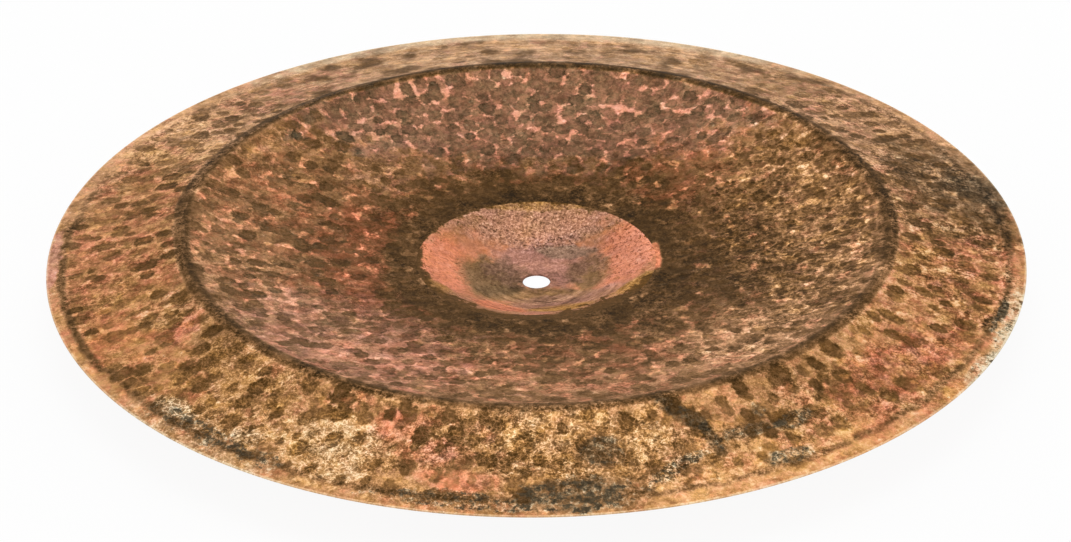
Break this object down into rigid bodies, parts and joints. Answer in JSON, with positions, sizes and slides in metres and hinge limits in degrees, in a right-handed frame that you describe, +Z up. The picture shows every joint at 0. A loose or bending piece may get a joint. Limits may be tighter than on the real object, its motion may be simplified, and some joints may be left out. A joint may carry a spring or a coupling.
{
  "type": "china cymbal",
  "caption": "Hammered bronze china cymbal lying bell down: a cupped bell with a stand hole, a dished bow rising to a crease, and an upturned flange round it.",
  "frame": {"origin": "on the axis of the stand hole, at the flat underside of the bell that the cymbal lies on", "axes": "+Z up along the axis of the hole, from the bell's underside towards the open side of the dish; the cymbal is round, so +X and +Y are any two directions across it"},
  "size_m": [0.4572, 0.4572, 0.0359],
  "materials": {
    "bell_bronze": "raw bronze with a coral fire scale, unpolished",
    "bow_bronze": "raw hammered bronze, mostly dark brown oxide over coral and gold",
    "flange_bronze": "raw hammered bronze, tan and gold with dark oxide marks"
  },
  "bodies": {
    "root": {"bell": "bell_bronze", "bow": "bow_bronze", "flange": "flange_bronze"}
  },
  "joints": []
}
